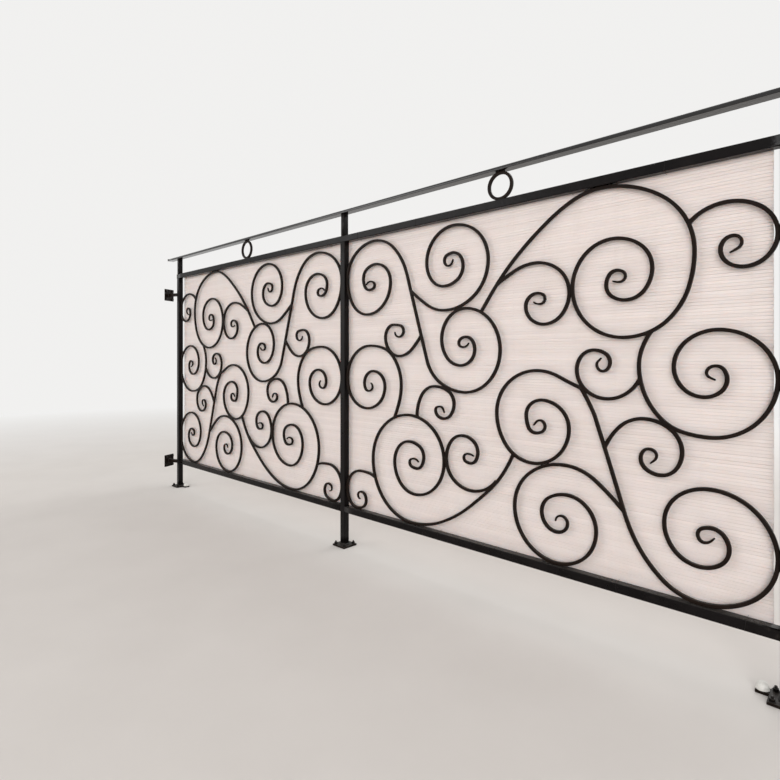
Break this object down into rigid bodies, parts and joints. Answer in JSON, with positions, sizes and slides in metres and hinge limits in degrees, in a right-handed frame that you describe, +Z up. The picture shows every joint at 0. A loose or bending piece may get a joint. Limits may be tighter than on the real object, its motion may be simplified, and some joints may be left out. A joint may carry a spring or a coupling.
{
  "type": "wrought iron balcony railing",
  "caption": "Wrought iron balcony railing with scroll panels, a handrail on rings, and reed-type privacy screens behind the scrolls.",
  "frame": {"origin": "centre of the middle post's floor plate, on its underside", "axes": "+X along the railing to the right as seen from the terrace, +Y out over the edge, +Z up"},
  "size_m": [3.696, 0.1112, 1.58],
  "materials": {
    "black_iron": "satin black paint",
    "screen_mat": "cream ribbed plastic mat"
  },
  "bodies": {
    "root": {"left_post": "black_iron", "middle_post": "black_iron", "right_post": "black_iron", "left_base_plate": "black_iron", "middle_base_plate": "black_iron", "right_base_plate": "black_iron", "left_bottom_rail": "black_iron", "right_bottom_rail": "black_iron", "top_rail": "black_iron", "left_stub": "black_iron", "middle_stub": "black_iron", "right_stub": "black_iron", "handrail": "black_iron", "end_caps": "black_iron", "left_ring": "black_iron", "right_ring": "black_iron", "left_upper_wall_bracket": "black_iron", "left_lower_wall_bracket": "black_iron", "right_upper_wall_bracket": "black_iron", "right_lower_wall_bracket": "black_iron", "left_s_scroll": "black_iron", "left_upper_scroll": "black_iron", "left_arch_scroll": "black_iron", "left_root_scroll": "black_iron", "left_heart_scroll": "black_iron", "left_crown_scroll": "black_iron", "left_side_scroll": "black_iron", "left_stem_scroll": "black_iron", "left_foot_scroll": "black_iron", "left_small_scrolls": "black_iron", "right_s_scroll": "black_iron", "right_upper_scroll": "black_iron", "right_arch_scroll": "black_iron", "right_root_scroll": "black_iron", "right_heart_scroll": "black_iron", "right_crown_scroll": "black_iron", "right_side_scroll": "black_iron", "right_stem_scroll": "black_iron", "right_foot_scroll": "black_iron", "right_small_scrolls": "black_iron", "left_screen": "screen_mat", "right_screen": "screen_mat"}
  },
  "joints": []
}
